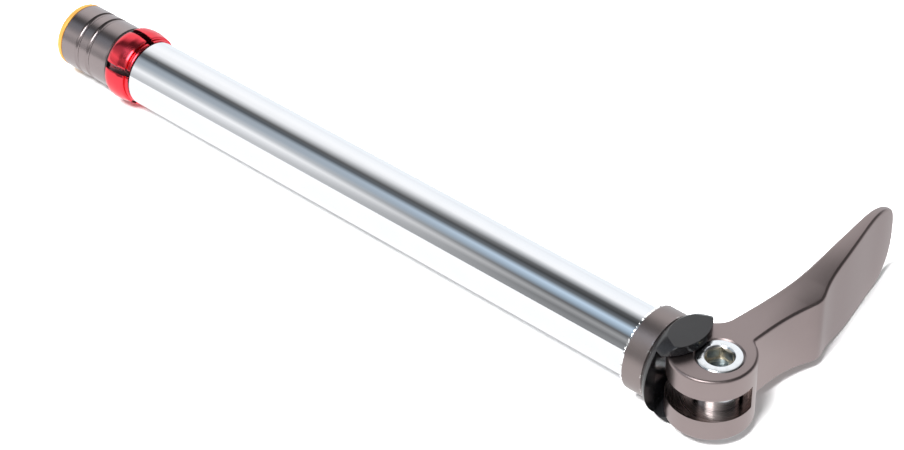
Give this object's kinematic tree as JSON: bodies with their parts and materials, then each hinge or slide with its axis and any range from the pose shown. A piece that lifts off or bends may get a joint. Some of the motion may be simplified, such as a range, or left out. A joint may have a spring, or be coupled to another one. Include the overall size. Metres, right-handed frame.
{
  "type": "bicycle thru axle",
  "caption": "Push-through bicycle axle: a polished tube with a toothed collar and cam lever at one end and an expanding split flange at the other.",
  "frame": {"origin": "on the axle's axis, in the plane of the collar's clamping face", "axes": "+X along the axle towards the lever, +Y along the closed lever's arm, +Z along the lever's pivot, up from the surface the part lies on"},
  "size_m": [0.1904, 0.0723, 0.02],
  "materials": {
    "polished_tube": "polished",
    "grey_anodised": "satin anodised grey",
    "plain_aluminium": "turned",
    "bush_plastic": "matte",
    "spring_steel": "drawn wire",
    "zinc_steel": "zinc plated",
    "black_plastic": "matte",
    "orange_anodised": "satin orange",
    "dark_steel": "blued",
    "red_anodised": "gloss anodised red"
  },
  "bodies": {
    "shaft": {"tube": "polished_tube", "collar": "grey_anodised", "segment_guide": "plain_aluminium", "head_bush": "bush_plastic", "return_spring": "spring_steel"},
    "saddle": {"cam_washer": "black_plastic"},
    "draw": {"draw_rod": "zinc_steel", "pivot_barrel": "zinc_steel", "rod_lock_screw": "dark_steel", "spring_nut": "zinc_steel", "expander_cone": "plain_aluminium"},
    "lever": {"lever": "grey_anodised"},
    "thrust": {"thrust_ring": "black_plastic"},
    "barrel": {"end_barrel": "grey_anodised", "end_cap": "orange_anodised"},
    "segment_1": {"flange_segment_1": "red_anodised"},
    "segment_2": {"flange_segment_2": "red_anodised"},
    "segment_3": {"flange_segment_3": "red_anodised"},
    "segment_4": {"flange_segment_4": "red_anodised"},
    "segment_5": {"flange_segment_5": "red_anodised"}
  },
  "joints": [
    {"name": "head_swivel", "type": "hinge", "parent": "shaft", "child": "saddle", "pos_m": [0, 0, 0], "axis": [1, 0, 0], "continuous": true},
    {"name": "draw_slide", "type": "slide", "parent": "saddle", "child": "draw", "axis": [1, 0, 0], "range_m": [-0.0024, 0], "deforming": ["return_spring"]},
    {"name": "lever_pivot", "type": "hinge", "parent": "draw", "child": "lever", "pos_m": [0.01693, 0, 0], "axis": [0, 0, -1], "range_deg": [0, 165]},
    {"name": "barrel_advance", "type": "slide", "parent": "draw", "child": "thrust", "axis": [1, 0, 0], "range_m": [-0.0027, 0]},
    {"name": "barrel_turn", "type": "hinge", "parent": "thrust", "child": "barrel", "pos_m": [-0.157, 0, 0], "axis": [1, 0, 0], "range_deg": [-1080, 0]},
    {"name": "segment_1_slide", "type": "slide", "parent": "shaft", "child": "segment_1", "axis": [0, 0.682, 0.7314], "range_m": [-0.0012, 0]},
    {"name": "segment_2_slide", "type": "slide", "parent": "shaft", "child": "segment_2", "axis": [0, -0.4848, 0.8746], "range_m": [-0.0012, 0]},
    {"name": "segment_3_slide", "type": "slide", "parent": "shaft", "child": "segment_3", "axis": [0, -0.9816, -0.1908], "range_m": [-0.0012, 0]},
    {"name": "segment_4_slide", "type": "slide", "parent": "shaft", "child": "segment_4", "axis": [0, -0.1219, -0.9925], "range_m": [-0.0012, 0]},
    {"name": "segment_5_slide", "type": "slide", "parent": "shaft", "child": "segment_5", "axis": [0, 0.9063, -0.4226], "range_m": [-0.0012, 0]}
  ],
  "couplings": [
    {"joint": "draw_slide", "follows": "lever_pivot", "m_per_rad": -0.00083339},
    {"joint": "barrel_advance", "follows": "barrel_turn", "m_per_rad": 0.00012732},
    {"joint": "segment_1_slide", "follows": "lever_pivot", "m_per_rad": -0.0004167},
    {"joint": "segment_2_slide", "follows": "lever_pivot", "m_per_rad": -0.0004167},
    {"joint": "segment_3_slide", "follows": "lever_pivot", "m_per_rad": -0.0004167},
    {"joint": "segment_4_slide", "follows": "lever_pivot", "m_per_rad": -0.0004167},
    {"joint": "segment_5_slide", "follows": "lever_pivot", "m_per_rad": -0.0004167}
  ]
}
